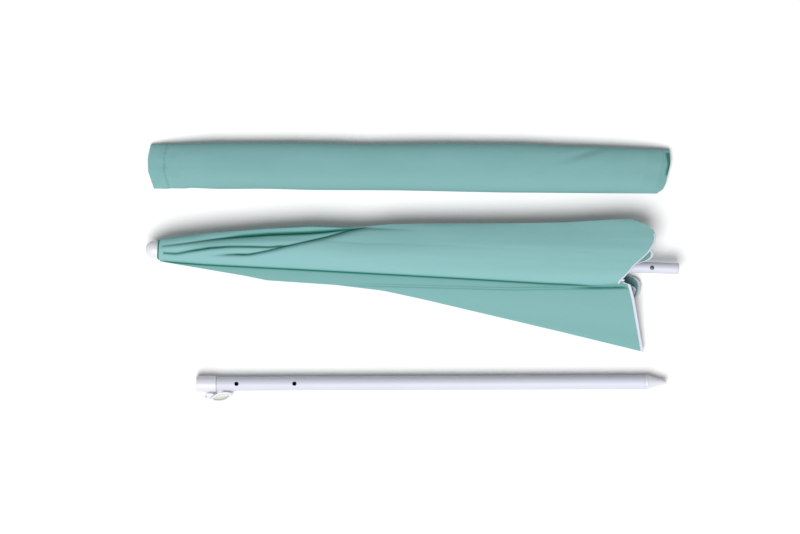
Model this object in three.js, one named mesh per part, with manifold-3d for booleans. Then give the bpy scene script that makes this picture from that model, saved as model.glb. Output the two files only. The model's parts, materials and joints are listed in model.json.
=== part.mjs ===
// A two-piece beach umbrella, folded and laid flat beside its lower pole and its carry sleeve.
// Millimetres, +Z up. The three items lie side by side, all along X, with the crown at -X.
import * as THREE from 'three';
import * as BufferGeometryUtils from 'three/addons/utils/BufferGeometryUtils.js';
import Module from 'manifold-3d';

const wasm = await Module();
wasm.setup();

// ---------------------------------------------------------------- driving dimensions
const GAP = 0.3;                  // between parts that touch or seat in each other
const RUNNING_GAP = 0.5;          // between parts that slide on each other

// upper pole: u runs along it from the crown to its open end
const upperLength = 1165;
const upperRadius = 12.5;
const upperWall = 1.2;
const upperHeight = 43;           // axis above the ground
const upperPlace = [-566, 49.7];
const upperTurn = -2.1;           // degrees about Z
const snapFromEnd = 58;
const snapHoleRadius = 4.8;
const snapButtonRadius = 4.3;
const snapProud = 1.5;

// finial, crown hub and collar
const finialRadius = upperRadius + 7.5;
const finialLength = 28;
const hubRadius = upperRadius + 8;
const hubLength = 18;
const hubStart = -3.7;            // the hub, the collar and the pole's closed end all start here
const hingeU = 13;
const hingeR = upperRadius + 4.1;
const collarRadius = hubRadius + 6;
const collarLength = 12;

// ribs and stretchers
const ribCount = 8;
const firstRibAngle = -67.5;      // degrees from +Z towards +Y
const ribLength = 1024;
const ribRadius = 2.4;
const bladeLength = 10;           // the flat end that sits in the hub's slot
const ribRise = 16;               // how far the folded rib's tip stands out past its hinge
const ribTipRadius = 3.6;
const ribTipLength = 16;
const pivotAlong = 467;           // from the rib's hinge to the stretcher's pivot
const pivotDrop = 5.8;            // the pivot hangs this far inside the rib
const stretcherLength = 498;
const stretcherRadius = 1.9;
const eyeRadius = 2.7;
const eyeWidth = 3;
const clipWall = 1.3;
const openAngle = 73;             // degrees from the pole to an open rib

// runner
const runnerLength = 58;
const runnerWall = 3;
const runnerFlange = upperRadius + 9.5;
const runnerButtonRadius = 4;
const runnerButtonFromEnd = 18;
const runnerButtonProud = 2.5;

// canopy
const clothThickness = 0.6;
const canopyStart = 14;           // where the gores come out of the collar

// lower pole
const lowerRadius = upperRadius + 3.5;  // its bore takes the upper pole
const lowerWall = 1.6;
const lowerLength = 1011;
const lowerPlace = [-484.4, -252.5];
const lowerTurn = 0.21;
const socketRadius = lowerRadius + 2;
const socketLength = 44.6;
const socketLip = 3.7;
const seamLength = 5;
const spigotStep = 4;              // how far the seam ring reaches in from the tube's bore to the spigot
const seamProud = 0.6;
const spikeLength = 43;
const spikeTipRadius = 5;
const lowerHoleRadius = 4.8;
const lowerHoles = [90.7, 221];
const clampAt = 54;
const studRadius = 3;
const bossRadius = 8;
const bossHeight = 5.5;
const knobRadius = 7;
const knobHeight = 13;
const wingSpan = 36;
const wingThickness = 4;
const wingHeight = 17;

// carry sleeve
const sleeveLength = 1174;
const sleeveWidth = 108;
const sleeveHeight = 50;
const sleeveWall = 2;
const sleevePlace = [-592, 236.6];
const sleeveTurn = -0.55;
const sleeveHem = 36;

// ---------------------------------------------------------------- materials
const finish = (color, roughness, metalness = 0) =>
  new THREE.MeshStandardMaterial({ color, roughness, metalness });
const materials = {
  paint: finish(0xe9e7f2, 0.3, 0.1),
  plastic: finish(0xf1eff6, 0.4),
  cloth: finish(0x8fc4c0, 0.85),
  steel: finish(0xb9bcc2, 0.35, 0.9),
};

// ---------------------------------------------------------------- solids
const radians = THREE.MathUtils.degToRad;

function toSolid(geometry) {
  const bare = geometry.clone();
  bare.deleteAttribute('normal');
  bare.deleteAttribute('uv');
  const merged = BufferGeometryUtils.mergeVertices(bare, 1e-4);
  return new wasm.Manifold(new wasm.Mesh({
    numProp: 3,
    vertProperties: new Float32Array(merged.attributes.position.array),
    triVerts: new Uint32Array(merged.index.array),
  }));
}

function toGeometry(solid) {
  const mesh = solid.getMesh();
  const geometry = new THREE.BufferGeometry();
  geometry.setAttribute('position', new THREE.BufferAttribute(mesh.vertProperties, 3));
  geometry.setIndex(new THREE.BufferAttribute(mesh.triVerts, 1));
  geometry.computeVertexNormals();
  return geometry;
}

const join = (...parts) => toGeometry(parts.map(toSolid).reduce((a, b) => a.add(b)));
const cut = (body, ...tools) => toGeometry(tools.map(toSolid).reduce((a, b) => a.subtract(b), toSolid(body)));

// a turned piece along X; points are [radius, x], and a ring's last point repeats its first
function turned(points, segments = 32) {
  const profile = points.map(([radius, x]) => new THREE.Vector2(radius, x));
  return new THREE.LatheGeometry(profile, segments).rotateZ(-Math.PI / 2);
}

function ring(inner, outer, from, to, segments = 32) {
  return turned([[inner, from], [outer, from], [outer, to], [inner, to], [inner, from]], segments);
}

// a round bar from one point to another
function bar(from, to, radius, segments = 10) {
  const way = to.clone().sub(from);
  const geometry = new THREE.CylinderGeometry(radius, radius, way.length(), segments);
  const turn = new THREE.Quaternion().setFromUnitVectors(new THREE.Vector3(0, 1, 0), way.clone().normalize());
  geometry.applyQuaternion(turn);
  const middle = from.clone().add(to).multiplyScalar(0.5);
  return geometry.translate(middle.x, middle.y, middle.z);
}

// a round bar across X at height z, centred on y = 0
function crossBar(x, z, radius, width, segments = 14) {
  return new THREE.CylinderGeometry(radius, radius, width, segments).translate(x, 0, z);
}

// a round bar along Z between two heights
function upright(x, low, high, radius, segments = 20) {
  return new THREE.CylinderGeometry(radius, radius, high - low, segments)
    .rotateX(Math.PI / 2).translate(x, 0, (low + high) / 2);
}

function box(sizeX, sizeY, sizeZ, x, y, z) {
  return new THREE.BoxGeometry(sizeX, sizeY, sizeZ).translate(x, y, z);
}

function node(name, geometry, material) {
  const mesh = new THREE.Mesh(geometry, material);
  mesh.name = name;
  return mesh;
}

// ---------------------------------------------------------------- where the linkage's pivots are
const point = (u, r) => new THREE.Vector3(u, 0, r);
const ribSlope = Math.asin(ribRise / ribLength);
const hinge = point(hingeU, hingeR);
const foldedPivot = alongRib(ribSlope, pivotAlong, -pivotDrop);
const runnerPivotR = foldedPivot.z;
const foldedRunnerU = foldedPivot.x + stretcherLength;
const openSlope = radians(openAngle);
const openPivot = alongRib(openSlope, pivotAlong, -pivotDrop);
const openRunnerU = openPivot.x + Math.sqrt(stretcherLength ** 2 - (openPivot.z - runnerPivotR) ** 2);

// a point on a rib that leans out by slope: this far along it, and this far out from it
function alongRib(slope, along, out) {
  return hinge.clone()
    .add(point(Math.cos(slope), Math.sin(slope)).multiplyScalar(along))
    .add(point(-Math.sin(slope), Math.cos(slope)).multiplyScalar(out));
}

const ribAngle = (index) => radians(firstRibAngle + (360 / ribCount) * index);

// ---------------------------------------------------------------- upper pole, finial, hub and collar
function upperPole() {
  const tube = ring(upperRadius - upperWall, upperRadius, hubStart, upperLength, 40);
  const hole = upright(upperLength - snapFromEnd, 0, upperRadius + 5, snapHoleRadius);
  return cut(tube, hole);
}

function finialCap() {
  const foot = hubStart - GAP;
  const rim = foot - 6;
  const points = [[0, foot - finialLength]];
  for (let step = 1; step <= 8; step += 1) {
    const turn = (Math.PI / 2) * (step / 8);
    points.push([finialRadius * Math.sin(turn) ** 0.85, rim - (finialLength - 6) * Math.cos(turn)]);
  }
  points.push([finialRadius, foot], [upperRadius - upperWall - GAP, foot]);
  points.push([upperRadius - upperWall - GAP, 14], [0, 14]);
  return turned(points, 36);
}

function crownHub() {
  const body = ring(upperRadius + GAP, hubRadius, hubStart, hubLength, 40);
  const slots = [];
  for (let index = 0; index < ribCount; index += 1) {
    const slot = box(hubLength, eyeWidth + 0.8, 12, 7 + hubLength / 2, 0, hingeR - eyeRadius - 0.7 + 6);
    slots.push(slot.rotateX(-ribAngle(index)));
  }
  return cut(body, ...slots);
}

function crownCollar() {
  const inner = hubRadius + GAP;
  return turned([
    [inner, hubStart], [collarRadius - 1.5, hubStart], [collarRadius, hubStart + 2.2],
    [collarRadius, collarLength - 4], [collarRadius - 1, collarLength], [inner + 2.2, collarLength],
    [inner, collarLength - 3], [inner, hubStart],
  ], 36);
}

function poleEndPlug() {
  const bore = upperRadius - upperWall;
  return turned([
    [0, upperLength - 12], [bore - GAP, upperLength - 12], [bore - GAP, upperLength + GAP],
    [upperRadius, upperLength + GAP], [upperRadius - 1.5, upperLength + 3], [0, upperLength + 3],
  ]);
}

function snapButton() {
  const at = upperLength - snapFromEnd;
  const top = upperRadius + snapProud;
  const dome = new THREE.LatheGeometry([
    new THREE.Vector2(0, 5), new THREE.Vector2(snapButtonRadius + 1.6, 5),
    new THREE.Vector2(snapButtonRadius + 1.6, 6.4), new THREE.Vector2(snapButtonRadius, 6.4),
    new THREE.Vector2(snapButtonRadius, top - 1.4), new THREE.Vector2(snapButtonRadius - 1.4, top - 0.3),
    new THREE.Vector2(0, top),
  ], 24);
  return dome.rotateX(Math.PI / 2).translate(at, 0, 0);
}

function snapSpring() {
  const low = -(upperRadius - upperWall) + 0.8;
  const coil = new THREE.LatheGeometry([
    new THREE.Vector2(2, low), new THREE.Vector2(3.4, low), new THREE.Vector2(3.4, 5 - GAP),
    new THREE.Vector2(2, 5 - GAP), new THREE.Vector2(2, low),
  ], 16);
  return coil.rotateX(Math.PI / 2).translate(upperLength - snapFromEnd, 0, 0);
}

// ---------------------------------------------------------------- runner
function runner() {
  const bore = upperRadius + RUNNING_GAP;
  const from = foldedRunnerU - 6;
  const to = foldedRunnerU + runnerLength - 6;
  const neck = bore + runnerWall;
  const body = turned([
    [bore, from], [runnerFlange, from], [runnerFlange, from + 12], [neck, from + 17],
    [neck, to - 5], [neck + 1.5, to - 3], [neck + 1.5, to], [bore, to], [bore, from],
  ], 36);
  const slots = [];
  for (let index = 0; index < ribCount; index += 1) {
    const slot = box(11, eyeWidth + 0.8, 12, foldedRunnerU - 2.4, 0, runnerPivotR - eyeRadius - 0.5 + 6);
    slots.push(slot.rotateX(-ribAngle(index)));
  }
  const pocket = upright(to - runnerButtonFromEnd, bore - 2, neck + 6, runnerButtonRadius + GAP);
  return cut(body, ...slots, pocket);
}

function runnerButton() {
  const low = upperRadius + RUNNING_GAP + 1.4;
  const high = upperRadius + RUNNING_GAP + runnerWall + runnerButtonProud;
  const at = foldedRunnerU + runnerLength - 6 - runnerButtonFromEnd;
  return upright(at, low, high, runnerButtonRadius, 24);
}

// ---------------------------------------------------------------- ribs and stretchers, each in its own plane
function rib() {
  const root = crossBar(hinge.x, hinge.z, eyeRadius, eyeWidth);
  const blade = box(bladeLength, eyeWidth, ribRadius * 2 - 0.6, bladeLength / 2, 0, 0)
    .rotateY(-ribSlope).translate(hinge.x, 0, hinge.z);
  const rod = bar(alongRib(ribSlope, bladeLength - 2, 0), alongRib(ribSlope, ribLength, 0), ribRadius);
  const width = eyeWidth + 0.8 + clipWall * 2;
  const clip = box(13, width, pivotDrop + 2, pivotAlong, 0, -(pivotDrop + 2) / 2);
  const mouth = box(14, eyeWidth + 0.8, pivotDrop + 2, pivotAlong, 0, -(pivotDrop + 2) / 2 - 2.6);
  const bracket = cut(clip, mouth).rotateY(-ribSlope).translate(hinge.x, 0, hinge.z);
  return join(root, blade, rod, bracket);
}

function ribTip() {
  const bore = ribRadius + GAP;
  const start = ribLength - 7;
  const profile = [
    [bore, start], [ribTipRadius, start], [ribTipRadius, start + ribTipLength - 3],
    [ribTipRadius - 1.4, start + ribTipLength], [0, start + ribTipLength],
    [0, ribLength + GAP], [bore, ribLength + GAP], [bore, start],
  ];
  return turned(profile, 16).rotateY(-ribSlope).translate(hinge.x, 0, hinge.z);
}

function stretcher() {
  const far = point(foldedRunnerU, runnerPivotR);
  return join(
    crossBar(foldedPivot.x, foldedPivot.z, eyeRadius - 0.3, eyeWidth),
    crossBar(far.x, far.z, eyeRadius - 0.3, eyeWidth),
    bar(foldedPivot, far, stretcherRadius, 8),
  );
}

// ---------------------------------------------------------------- canopy
// Each of the eight gores is two half-gores that meet at a fold. Folded, they lie in layers: five folds
// to +Y and three to -Y. Seen along the pole at the hem, a half runs from its rib out to its fold
// through these points, [across, up] from the pole's axis.
const goreHalves = [
  {
    near: [[-34.6, 15], [-22, 38], [-14, 43], [0, 47], [14, 48], [35, 46], [65, 39.5], [107, 25]],
    far: [[-14, 37.4], [0, 43.4], [14, 44.2], [35, 42], [65, 35.5], [104.5, 22.4]],
  },
  {
    near: [[-14, 34.8], [0, 39.6], [14, 40.6], [35, 38], [65, 31], [98, 17.5]],
    far: [[14, 37.2], [35, 34.5], [65, 27], [95.5, 14.8]],
  },
  {
    near: [[14, 34.4], [35, 30.8], [65, 22.5], [101, 6]],
    far: [[35, 17.4], [65, 14.5], [98.5, 2.8]],
  },
  {
    near: [[35, 14.2], [65, 8], [92, -7]],
    far: [[35, -12], [65, -3], [89.5, -11]],
  },
  {
    near: [[35, -16], [65, -14], [85, -24]],
    far: [[14, -36.5], [35, -34], [65, -28], [82, -28]],
  },
  {
    near: [[14, -39.5], [-14, -41], [-35, -41.2], [-60, -40.4], [-100, -37.4]],
    far: [[-14, -38.4], [-35, -37.6], [-60, -36], [-97, -34.2]],
  },
  {
    near: [[-14, -35.6], [-35, -33.6], [-60, -28], [-100, -28.6], [-112, -28.4]],
    far: [[-35, -17], [-60, -19], [-100, -24], [-109, -25.4]],
  },
  {
    near: [[-35, -12.5], [-60, -12.5], [-100, -17], [-140, -23.5], [-186, -32]],
    far: [[-35, 12.2], [-60, 2], [-100, -8], [-140, -18], [-189, -29]],
  },
];
const tableRibR = 32.6;           // the table above is for folded ribs whose ends stand this far out
const hemU = hingeU + ribLength - 7;
const foldPastHem = [45, 32, 40, 30, 26, 32, 36, 61];

// pushes a point of the table out from the pole's axis, by as much as the ribs' ends stand further out
function pushedOut([across, up]) {
  const share = 1 + (hingeR + ribRise - tableRibR) / Math.hypot(across, up);
  return [across * share, up * share];
}

// The gores come out of the collar gathered round the pole. This gathers a point of the hem's section
// into the crown's, and keeps the order of the layers in both directions.
const gatherR = hubRadius + 5;    // the bundle's half width where it comes out of the collar
const gatherAcross = [
  [-189, -gatherR], [-34, 5 - gatherR], [-14, -9], [14, 9], [34, gatherR - 5], [107, gatherR],
];
const gatherUp = [
  [-42, 0.5 - gatherR], [-34, 5 - gatherR], [-14, -10], [14, 10], [34, gatherR - 5], [48, gatherR],
];

function throughPoints(table, value) {
  let place = 1;
  while (place < table.length - 1 && value > table[place][0]) place += 1;
  const [x0, y0] = table[place - 1];
  const [x1, y1] = table[place];
  return y0 + ((y1 - y0) * (value - x0)) / (x1 - x0);
}

function gathered([across, up]) {
  const side = throughPoints(gatherAcross, across);
  const room = Math.sqrt(1 - (side / (gatherR + 2.5)) ** 2);
  return [side, throughPoints(gatherUp, up) * room];
}

// A thin closed sheet: rows from the crown to the hem, each a copy of the section part way open.
// It stands a little off the fold and off the rib line, so that the sheets never touch.
function halfGore(gore, side) {
  const section = goreHalves[gore][side].map(pushedOut);
  const rows = 9;
  const grid = [];
  for (let row = 0; row <= rows; row += 1) {
    const t = row / rows;
    const line = section.map((corner, column) => {
      const [v0, z0] = gathered(corner);
      const share = column / (section.length - 1);
      const endU = hemU + foldPastHem[gore] * share;
      return new THREE.Vector3(
        canopyStart + (endU - canopyStart) * t,
        v0 + (corner[0] - v0) * t,
        z0 + (corner[1] - z0) * t,
      );
    });
    grid.push(shortened(line, 1.6));
  }
  return sheet(grid, clothThickness);
}

// a row of points with its first and last stretch cut back by the same small length
function shortened(line, by) {
  const points = line.map((p) => p.clone());
  const last = points.length - 1;
  const step = (from, to) => to.clone().sub(from).setLength(Math.min(by, to.distanceTo(from) * 0.3));
  const firstMove = step(line[0], line[1]);
  const lastMove = step(line[last], line[last - 1]);
  points[0].add(firstMove);
  points[last].add(lastMove);
  return points;
}

function sheet(grid, thickness) {
  const rows = grid.length;
  const columns = grid[0].length;
  const corners = [];
  for (const up of [0.5, -0.5]) {
    for (let row = 0; row < rows; row += 1) {
      for (let column = 0; column < columns; column += 1) {
        const before = grid[row][Math.max(column - 1, 0)];
        const after = grid[row][Math.min(column + 1, columns - 1)];
        const across = after.clone().sub(before);
        const normal = new THREE.Vector3(0, -across.z, across.y).normalize();
        const thin = thickness * (0.35 + 0.65 * Math.min(1, row / 3));
        corners.push(grid[row][column].clone().addScaledVector(normal, up * thin));
      }
    }
  }
  const at = (layer, row, column) => (layer * rows + row) * columns + column;
  const index = [];
  const quad = (a, b, c, d) => index.push(a, b, c, a, c, d);
  for (let row = 0; row < rows - 1; row += 1) {
    for (let column = 0; column < columns - 1; column += 1) {
      quad(at(0, row, column), at(0, row + 1, column), at(0, row + 1, column + 1), at(0, row, column + 1));
      quad(at(1, row, column), at(1, row, column + 1), at(1, row + 1, column + 1), at(1, row + 1, column));
    }
  }
  for (let row = 0; row < rows - 1; row += 1) {
    quad(at(0, row, 0), at(1, row, 0), at(1, row + 1, 0), at(0, row + 1, 0));
    const end = columns - 1;
    quad(at(0, row, end), at(0, row + 1, end), at(1, row + 1, end), at(1, row, end));
  }
  for (let column = 0; column < columns - 1; column += 1) {
    quad(at(0, 0, column), at(0, 0, column + 1), at(1, 0, column + 1), at(1, 0, column));
    const end = rows - 1;
    quad(at(0, end, column), at(1, end, column), at(1, end, column + 1), at(0, end, column + 1));
  }
  const geometry = new THREE.BufferGeometry().setFromPoints(corners);
  geometry.setIndex(index);
  const volume = signedVolume(geometry);
  if (volume < 0) flip(geometry);
  return geometry;
}

function signedVolume(geometry) {
  const { position } = geometry.attributes;
  const corner = (place) => new THREE.Vector3().fromBufferAttribute(position, geometry.index.getX(place));
  let volume = 0;
  for (let place = 0; place < geometry.index.count; place += 3) {
    volume += corner(place).dot(corner(place + 1).cross(corner(place + 2))) / 6;
  }
  return volume;
}

function flip(geometry) {
  const turnedRound = [];
  for (let place = 0; place < geometry.index.count; place += 3) {
    turnedRound.push(geometry.index.getX(place), geometry.index.getX(place + 2), geometry.index.getX(place + 1));
  }
  geometry.setIndex(turnedRound);
}

// ---------------------------------------------------------------- lower pole
function lowerTube() {
  const tube = ring(lowerRadius - lowerWall, lowerRadius, socketLip + GAP, lowerLength, 40);
  const holes = lowerHoles.map((at) => upright(at, 0, lowerRadius + 5, lowerHoleRadius));
  const studHole = upright(clampAt, 0, lowerRadius + 5, studRadius + GAP).rotateX(Math.PI / 2);
  return cut(tube, ...holes, studHole);
}

function socketCollar() {
  const lip = lowerRadius - lowerWall;
  const inner = lowerRadius + GAP;
  return turned([
    [lip, 1], [lip + 1, 0], [socketRadius - 1, 0], [socketRadius, 1], [socketRadius, socketLength - 1],
    [socketRadius - 1, socketLength], [inner, socketLength], [inner, socketLip], [lip, socketLip], [lip, 1],
  ], 40);
}

function clampBoss() {
  const body = upright(clampAt, lowerRadius - 4, lowerRadius + bossHeight, bossRadius, 28).rotateX(Math.PI / 2);
  const seat = turned([[0, 0], [lowerRadius + GAP, 0], [lowerRadius + GAP, 200], [0, 200]], 40);
  const hole = upright(clampAt, 0, 60, studRadius + GAP).rotateX(Math.PI / 2);
  return cut(body, seat, hole);
}

function clampStud() {
  const from = lowerRadius - lowerWall + 0.4;
  const to = lowerRadius + bossHeight + 8;
  return upright(clampAt, from, to, studRadius, 16).rotateX(Math.PI / 2);
}

// a hub with two rounded wings; it is drawn upright and then turned to stand out sideways from the pole
function clampKnob() {
  const base = lowerRadius + bossHeight + GAP;
  const hub = upright(clampAt, base, base + knobHeight, knobRadius, 28);
  const low = base + 1.5;
  const outline = new THREE.Shape();
  outline.moveTo(clampAt - 5, low);
  outline.lineTo(clampAt + 8, low);
  outline.bezierCurveTo(clampAt + 20, low, clampAt + 24, low - 2, clampAt + wingSpan - 7, low);
  outline.absarc(clampAt + wingSpan - 7.5, low + 7, 7, -Math.PI / 2, Math.PI / 2, false);
  outline.lineTo(clampAt + 9, low + wingHeight - 2);
  outline.lineTo(clampAt - 9, low + wingHeight - 2);
  outline.lineTo(clampAt - wingSpan + 7.5, low + 14);
  outline.absarc(clampAt - wingSpan + 7.5, low + 7, 7, Math.PI / 2, Math.PI * 1.5, false);
  outline.bezierCurveTo(clampAt - 24, low - 2, clampAt - 20, low, clampAt - 8, low);
  outline.closePath();
  const wings = new THREE.ExtrudeGeometry(outline, { depth: wingThickness, bevelEnabled: false, curveSegments: 6 });
  wings.rotateX(Math.PI / 2).translate(0, wingThickness / 2, 0);
  const dot = crossBar(clampAt - wingSpan + 8, low + 7, 1.6, wingThickness * 3, 16);
  const bore = upright(clampAt, base - 1, lowerRadius + bossHeight + 8 + GAP, studRadius + GAP, 16);
  const knob = toSolid(join(hub, wings)).subtract(toSolid(dot)).subtract(toSolid(bore));
  return toGeometry(knob).rotateX(Math.PI / 2);
}

function seamRing() {
  return turned([
    [lowerRadius - lowerWall - spigotStep, lowerLength + GAP], [lowerRadius + seamProud, lowerLength + GAP],
    [lowerRadius + seamProud, lowerLength + seamLength], [lowerRadius - lowerWall - spigotStep, lowerLength + seamLength],
    [lowerRadius - lowerWall - spigotStep, lowerLength + GAP],
  ]);
}

function spikeTip() {
  const from = lowerLength + seamLength + GAP;
  const plug = lowerRadius - lowerWall - spigotStep - GAP;
  const points = [[0, lowerLength - 20], [plug, lowerLength - 20], [plug, from], [lowerRadius, from]];
  const slope = Math.atan2(lowerRadius - spikeTipRadius, spikeLength - spikeTipRadius);
  const centre = from + spikeLength - spikeTipRadius;
  for (let step = 0; step <= 5; step += 1) {
    const turn = (Math.PI / 2 - slope) * (1 - step / 5);
    points.push([spikeTipRadius * Math.sin(turn), centre + spikeTipRadius * Math.cos(turn)]);
  }
  points[points.length - 1][0] = 0;
  return turned(points, 36);
}

// ---------------------------------------------------------------- carry sleeve
function sleeveGrid(inset) {
  const stations = [0, 0.012, 0.05, 0.15, 0.35, 0.55, 0.75, 0.9, 0.97, 1];
  const around = 28;
  return stations.map((share) => {
    const x = inset > 0 ? -10 + share * (sleeveLength - 2) : share * sleeveLength;
    const end = Math.min(1, 0.93 + 0.9 * Math.min(share, 1 - share));
    const half = (sleeveWidth / 2) * end - inset;
    const high = (sleeveHeight * (0.8 + 0.2 * Math.min(1, 6 * Math.min(share, 1 - share)))) / 2 - inset;
    const centre = sleeveHeight * 0.44;
    const loop = [];
    for (let step = 0; step < around; step += 1) {
      const turn = (2 * Math.PI * step) / around;
      const across = half * Math.sign(Math.cos(turn)) * Math.abs(Math.cos(turn)) ** 0.8;
      const up = centre + high * Math.sin(turn);
      loop.push(new THREE.Vector3(x, across, Math.max(up, inset)));
    }
    return loop;
  });
}

function lofted(loops) {
  const around = loops[0].length;
  const corners = loops.flat();
  const index = [];
  for (let row = 0; row < loops.length - 1; row += 1) {
    for (let step = 0; step < around; step += 1) {
      const next = (step + 1) % around;
      const [a, b] = [row * around + step, row * around + next];
      index.push(a, b, b + around, a, b + around, a + around);
    }
  }
  for (const row of [0, loops.length - 1]) {
    const middle = corners.length;
    const centre = new THREE.Vector3();
    loops[row].forEach((corner) => centre.addScaledVector(corner, 1 / around));
    corners.push(centre);
    for (let step = 0; step < around; step += 1) {
      const [a, b] = [row * around + step, row * around + ((step + 1) % around)];
      if (row === 0) index.push(middle, b, a);
      else index.push(middle, a, b);
    }
  }
  const geometry = new THREE.BufferGeometry().setFromPoints(corners);
  geometry.setIndex(index);
  if (signedVolume(geometry) < 0) flip(geometry);
  return geometry;
}

function sleeveParts() {
  const shell = toSolid(lofted(sleeveGrid(0))).subtract(toSolid(lofted(sleeveGrid(sleeveWall))));
  const half = GAP / 2;
  const keep = (from, to) => toSolid(box(to - from, 400, 400, (from + to) / 2, 0, 0));
  return {
    hem: toGeometry(shell.intersect(keep(-50, sleeveHem - half))),
    body: toGeometry(shell.intersect(keep(sleeveHem + half, sleeveLength + 50))),
  };
}

// ---------------------------------------------------------------- assembly
function umbrella() {
  const group = new THREE.Group();
  group.add(
    node('upper_pole', upperPole(), materials.paint),
    node('finial_cap', finialCap(), materials.plastic),
    node('crown_hub', crownHub(), materials.plastic),
    node('crown_collar', crownCollar(), materials.cloth),
    node('pole_end_plug', poleEndPlug(), materials.plastic),
    node('snap_button', snapButton(), materials.steel),
    node('snap_spring', snapSpring(), materials.steel),
    node('runner', runner(), materials.plastic),
    node('runner_button', runnerButton(), materials.plastic),
  );
  for (let index = 0; index < ribCount; index += 1) {
    const plane = new THREE.Group();
    plane.rotation.x = -ribAngle(index);
    plane.add(
      node(`rib_${index + 1}`, rib(), materials.paint),
      node(`rib_tip_${index + 1}`, ribTip(), materials.plastic),
      node(`stretcher_${index + 1}`, stretcher(), materials.paint),
    );
    group.add(plane);
  }
  for (let gore = 0; gore < ribCount; gore += 1) {
    group.add(
      node(`gore_${gore + 1}_near_half`, halfGore(gore, 'near'), materials.cloth),
      node(`gore_${gore + 1}_far_half`, halfGore(gore, 'far'), materials.cloth),
    );
  }
  group.position.set(...upperPlace, upperHeight);
  group.rotation.z = radians(upperTurn);
  return group;
}

function lowerPole() {
  const group = new THREE.Group();
  group.add(
    node('lower_pole_tube', lowerTube(), materials.paint),
    node('socket_collar', socketCollar(), materials.plastic),
    node('clamp_boss', clampBoss(), materials.plastic),
    node('clamp_stud', clampStud(), materials.steel),
    node('clamp_knob', clampKnob(), materials.plastic),
    node('seam_ring', seamRing(), materials.plastic),
    node('spike_tip', spikeTip(), materials.plastic),
  );
  group.position.set(...lowerPlace, socketRadius);
  group.rotation.z = radians(lowerTurn);
  return group;
}

function carrySleeve() {
  const { hem, body } = sleeveParts();
  const group = new THREE.Group();
  group.add(node('sleeve_hem', hem, materials.cloth), node('sleeve_body', body, materials.cloth));
  group.position.set(...sleevePlace, 0);
  group.rotation.z = radians(sleeveTurn);
  return group;
}

const kit = new THREE.Group();
kit.add(umbrella(), lowerPole(), carrySleeve());

// the origin is the bottom centre of the whole kit's box
kit.updateMatrixWorld(true);
const bounds = new THREE.Box3().setFromObject(kit, true);
const centre = bounds.getCenter(new THREE.Vector3());
kit.position.set(-centre.x, -centre.y, -bounds.min.z);

export default kit;
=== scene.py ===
# %% [markdown]
# # A beach umbrella, folded and laid out with its lower pole and its carry sleeve
#
# The mechanical frame is already made: poles, runner, ribs, stretchers and knob come from the frame file and
# stay where they are. This lesson dresses it. It makes the folded canopy, its white bound hem, the sleeve and
# the moulded fittings, and gives every surface a finish.

# %% Load the frame
import json
import math
import bpy
import numpy as np
from mathutils import Matrix, Vector


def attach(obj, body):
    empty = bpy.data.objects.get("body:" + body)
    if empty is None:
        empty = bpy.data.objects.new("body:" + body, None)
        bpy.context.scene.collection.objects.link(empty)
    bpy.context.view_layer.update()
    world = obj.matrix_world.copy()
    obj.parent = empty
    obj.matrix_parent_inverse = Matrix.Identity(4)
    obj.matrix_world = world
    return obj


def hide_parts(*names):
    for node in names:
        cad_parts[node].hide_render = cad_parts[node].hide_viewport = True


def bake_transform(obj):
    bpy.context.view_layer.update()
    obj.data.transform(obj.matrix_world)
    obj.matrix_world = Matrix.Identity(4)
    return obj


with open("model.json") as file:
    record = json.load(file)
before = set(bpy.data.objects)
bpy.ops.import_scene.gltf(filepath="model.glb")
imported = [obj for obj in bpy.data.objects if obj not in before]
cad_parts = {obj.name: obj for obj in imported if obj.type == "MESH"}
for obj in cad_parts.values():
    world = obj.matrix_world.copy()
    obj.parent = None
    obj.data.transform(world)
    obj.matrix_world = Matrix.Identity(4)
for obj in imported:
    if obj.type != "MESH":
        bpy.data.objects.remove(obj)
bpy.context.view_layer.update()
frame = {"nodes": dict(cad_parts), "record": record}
nodes = frame["nodes"]
joints = {joint["name"]: joint for joint in frame["record"]["behaviour"]["joints"]}
MM = 0.001
print("nodes:", len(nodes), "joints:", len(joints))

# %% [markdown]
# ## Camera, floor and light
#
# A long lens does that. The floor is a large white sheet. One wide, soft light from the near side draws the
# short grey shadows behind each piece, and a bright sky fills them. The light is as far away as the sun, so
# it falls as brightly on the floor's far corners as on its middle.

# %% Camera
CAMERA_HEIGHT = 12.0
VIEW_WIDTH = 1.8
POLE_HEIGHT = 0.03
SENSOR_WIDTH = 36
camera_data = bpy.data.cameras.new("camera")
camera = bpy.data.objects.new("camera", camera_data)
bpy.context.collection.objects.link(camera)
camera.location = (-0.0277, 0.0116, CAMERA_HEIGHT)
camera_data.sensor_width = SENSOR_WIDTH
camera_data.lens = SENSOR_WIDTH * (CAMERA_HEIGHT - POLE_HEIGHT) / VIEW_WIDTH
camera_data.clip_end = 60
bpy.context.scene.camera = camera
bpy.context.scene.view_settings.view_transform = "Standard"
print("lens:", round(camera_data.lens, 1), "mm")

# %% Floor and light
def select_only(*objects):
    bpy.ops.object.select_all(action="DESELECT")
    for item in objects:
        item.select_set(True)
    bpy.context.view_layer.objects.active = objects[0]


FLOOR_SIZE = 30
bpy.ops.object.select_all(action="DESELECT")
bpy.ops.mesh.primitive_plane_add(size=FLOOR_SIZE, location=(0, 0, 0))
floor = bpy.context.object
floor.name = "floor"


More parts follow.
